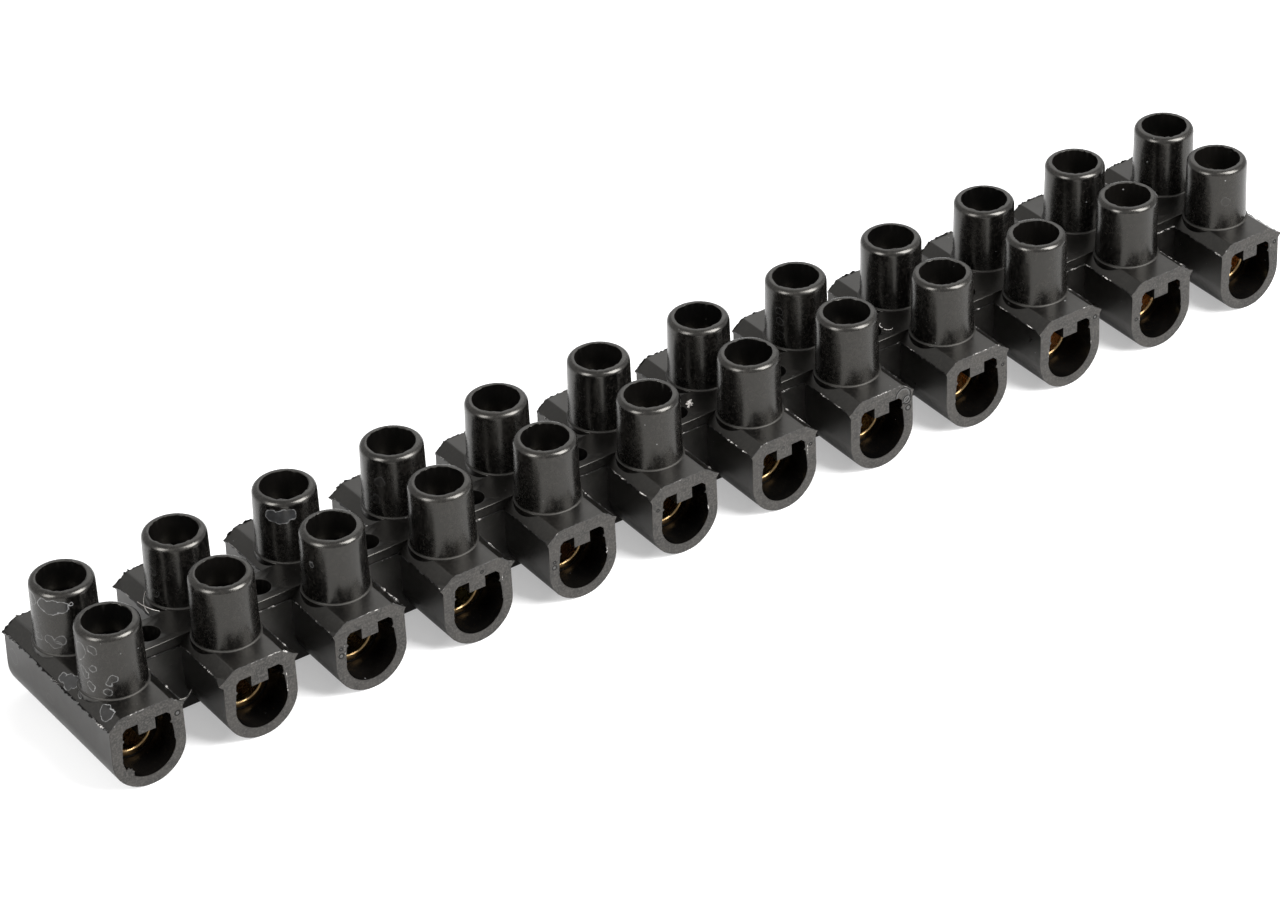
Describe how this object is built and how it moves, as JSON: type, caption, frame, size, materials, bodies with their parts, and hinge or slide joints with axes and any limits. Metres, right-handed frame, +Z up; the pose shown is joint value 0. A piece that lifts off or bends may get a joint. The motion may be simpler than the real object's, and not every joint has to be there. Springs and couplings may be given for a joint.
{
  "type": "screw connector strip",
  "caption": "Moulded strip of linked barrels with brass wire sleeves, each clamped by two screws reached through round turrets; webs between the barrels have fixing holes.",
  "frame": {"origin": "middle of the strip's length and width, on the plane that the barrels stand on", "axes": "+X along the strip from the first pole to the last, +Y along the wires to the back entries, +Z up out of the turrets"},
  "size_m": [0.1456, 0.0206, 0.016],
  "materials": {
    "housing_nylon": "black moulded nylon, satin to glossy, paler on the cut end faces",
    "sleeve_brass": "turned brass, lightly tarnished in the bore",
    "screw_steel": "zinc-plated steel"
  },
  "bodies": {
    "strip": {"housing": "housing_nylon", "sleeve_01": "sleeve_brass", "sleeve_02": "sleeve_brass", "sleeve_03": "sleeve_brass", "sleeve_04": "sleeve_brass", "sleeve_05": "sleeve_brass", "sleeve_06": "sleeve_brass", "sleeve_07": "sleeve_brass", "sleeve_08": "sleeve_brass", "sleeve_09": "sleeve_brass", "sleeve_10": "sleeve_brass", "sleeve_11": "sleeve_brass", "sleeve_12": "sleeve_brass"},
    "screw_front_01": {"screw_front_01": "screw_steel"},
    "screw_front_02": {"screw_front_02": "screw_steel"},
    "screw_front_03": {"screw_front_03": "screw_steel"},
    "screw_front_04": {"screw_front_04": "screw_steel"},
    "screw_front_05": {"screw_front_05": "screw_steel"},
    "screw_front_06": {"screw_front_06": "screw_steel"},
    "screw_front_07": {"screw_front_07": "screw_steel"},
    "screw_front_08": {"screw_front_08": "screw_steel"},
    "screw_front_09": {"screw_front_09": "screw_steel"},
    "screw_front_10": {"screw_front_10": "screw_steel"},
    "screw_front_11": {"screw_front_11": "screw_steel"},
    "screw_front_12": {"screw_front_12": "screw_steel"},
    "screw_back_01": {"screw_back_01": "screw_steel"},
    "screw_back_02": {"screw_back_02": "screw_steel"},
    "screw_back_03": {"screw_back_03": "screw_steel"},
    "screw_back_04": {"screw_back_04": "screw_steel"},
    "screw_back_05": {"screw_back_05": "screw_steel"},
    "screw_back_06": {"screw_back_06": "screw_steel"},
    "screw_back_07": {"screw_back_07": "screw_steel"},
    "screw_back_08": {"screw_back_08": "screw_steel"},
    "screw_back_09": {"screw_back_09": "screw_steel"},
    "screw_back_10": {"screw_back_10": "screw_steel"},
    "screw_back_11": {"screw_back_11": "screw_steel"},
    "screw_back_12": {"screw_back_12": "screw_steel"}
  },
  "joints": [
    {"name": "front_screw_travel_01", "type": "slide", "parent": "strip", "child": "screw_front_01", "axis": [0, 0, 1], "range_m": [-0.0037, 0]},
    {"name": "front_screw_travel_02", "type": "slide", "parent": "strip", "child": "screw_front_02", "axis": [0, 0, 1], "range_m": [-0.0037, 0]},
    {"name": "front_screw_travel_03", "type": "slide", "parent": "strip", "child": "screw_front_03", "axis": [0, 0, 1], "range_m": [-0.0037, 0]},
    {"name": "front_screw_travel_04", "type": "slide", "parent": "strip", "child": "screw_front_04", "axis": [0, 0, 1], "range_m": [-0.0037, 0]},
    {"name": "front_screw_travel_05", "type": "slide", "parent": "strip", "child": "screw_front_05", "axis": [0, 0, 1], "range_m": [-0.0037, 0]},
    {"name": "front_screw_travel_06", "type": "slide", "parent": "strip", "child": "screw_front_06", "axis": [0, 0, 1], "range_m": [-0.0037, 0]},
    {"name": "front_screw_travel_07", "type": "slide", "parent": "strip", "child": "screw_front_07", "axis": [0, 0, 1], "range_m": [-0.0037, 0]},
    {"name": "front_screw_travel_08", "type": "slide", "parent": "strip", "child": "screw_front_08", "axis": [0, 0, 1], "range_m": [-0.0037, 0]},
    {"name": "front_screw_travel_09", "type": "slide", "parent": "strip", "child": "screw_front_09", "axis": [0, 0, 1], "range_m": [-0.0037, 0]},
    {"name": "front_screw_travel_10", "type": "slide", "parent": "strip", "child": "screw_front_10", "axis": [0, 0, 1], "range_m": [-0.0037, 0]},
    {"name": "front_screw_travel_11", "type": "slide", "parent": "strip", "child": "screw_front_11", "axis": [0, 0, 1], "range_m": [-0.0037, 0]},
    {"name": "front_screw_travel_12", "type": "slide", "parent": "strip", "child": "screw_front_12", "axis": [0, 0, 1], "range_m": [-0.0037, 0]},
    {"name": "back_screw_travel_01", "type": "slide", "parent": "strip", "child": "screw_back_01", "axis": [0, 0, 1], "range_m": [-0.0037, 0]},
    {"name": "back_screw_travel_02", "type": "slide", "parent": "strip", "child": "screw_back_02", "axis": [0, 0, 1], "range_m": [-0.0037, 0]},
    {"name": "back_screw_travel_03", "type": "slide", "parent": "strip", "child": "screw_back_03", "axis": [0, 0, 1], "range_m": [-0.0037, 0]},
    {"name": "back_screw_travel_04", "type": "slide", "parent": "strip", "child": "screw_back_04", "axis": [0, 0, 1], "range_m": [-0.0037, 0]},
    {"name": "back_screw_travel_05", "type": "slide", "parent": "strip", "child": "screw_back_05", "axis": [0, 0, 1], "range_m": [-0.0037, 0]},
    {"name": "back_screw_travel_06", "type": "slide", "parent": "strip", "child": "screw_back_06", "axis": [0, 0, 1], "range_m": [-0.0037, 0]},
    {"name": "back_screw_travel_07", "type": "slide", "parent": "strip", "child": "screw_back_07", "axis": [0, 0, 1], "range_m": [-0.0037, 0]},
    {"name": "back_screw_travel_08", "type": "slide", "parent": "strip", "child": "screw_back_08", "axis": [0, 0, 1], "range_m": [-0.0037, 0]},
    {"name": "back_screw_travel_09", "type": "slide", "parent": "strip", "child": "screw_back_09", "axis": [0, 0, 1], "range_m": [-0.0037, 0]},
    {"name": "back_screw_travel_10", "type": "slide", "parent": "strip", "child": "screw_back_10", "axis": [0, 0, 1], "range_m": [-0.0037, 0]},
    {"name": "back_screw_travel_11", "type": "slide", "parent": "strip", "child": "screw_back_11", "axis": [0, 0, 1], "range_m": [-0.0037, 0]},
    {"name": "back_screw_travel_12", "type": "slide", "parent": "strip", "child": "screw_back_12", "axis": [0, 0, 1], "range_m": [-0.0037, 0]}
  ]
}
